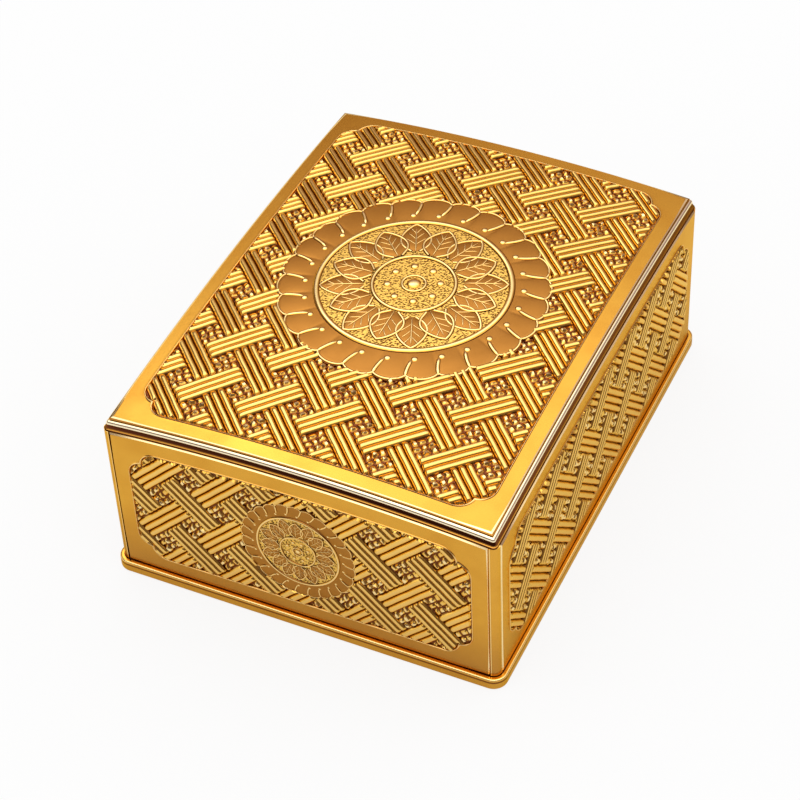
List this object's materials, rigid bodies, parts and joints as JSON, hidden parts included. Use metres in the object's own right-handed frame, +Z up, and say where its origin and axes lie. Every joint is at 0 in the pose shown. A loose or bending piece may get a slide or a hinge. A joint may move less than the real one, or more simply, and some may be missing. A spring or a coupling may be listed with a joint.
{
  "type": "lidded box",
  "caption": "Rectangular scripture box with a crowned lift-off cover, woven-pattern metal panels, a rosette roundel, beaded rim, plinth and lined inner box.",
  "frame": {"origin": "centre of the felt on the underside", "axes": "+Z up and along the cover's lift, -Y towards the front with the small roundel, Y along the longer sides"},
  "size_m": [0.1526, 0.1972, 0.0816],
  "materials": {
    "satin_gilt": "satin gilding over pressed metal",
    "polished_gilt": "polished gilding",
    "lacquered_wood": "dark lacquer, satin",
    "lining_cloth": "woven cloth over card",
    "green_felt": "felt"
  },
  "bodies": {
    "base": {"plinth_moulding": "polished_gilt", "base_board": "lacquered_wood", "base_felt": "green_felt", "inner_front_wall": "lacquered_wood", "inner_back_wall": "lacquered_wood", "inner_left_wall": "lacquered_wood", "inner_right_wall": "lacquered_wood", "liner_front": "lining_cloth", "liner_back": "lining_cloth", "liner_left": "lining_cloth", "liner_right": "lining_cloth", "floor_pad": "lining_cloth"},
    "cover": {"top_plate": "satin_gilt", "rim_moulding": "polished_gilt", "front_plate": "satin_gilt", "back_plate": "satin_gilt", "left_plate": "satin_gilt", "right_plate": "satin_gilt", "corner_strip_front_left": "satin_gilt", "corner_strip_front_right": "satin_gilt", "corner_strip_back_left": "satin_gilt", "corner_strip_back_right": "satin_gilt", "cover_top_board": "lacquered_wood", "cover_front_board": "lacquered_wood", "cover_back_board": "lacquered_wood", "cover_left_board": "lacquered_wood", "cover_right_board": "lacquered_wood", "cover_ceiling_lining": "lining_cloth"}
  },
  "joints": [
    {"name": "cover_lift", "type": "slide", "parent": "base", "child": "cover", "axis": [0, 0, 1], "range_m": [0, 0.09]}
  ]
}
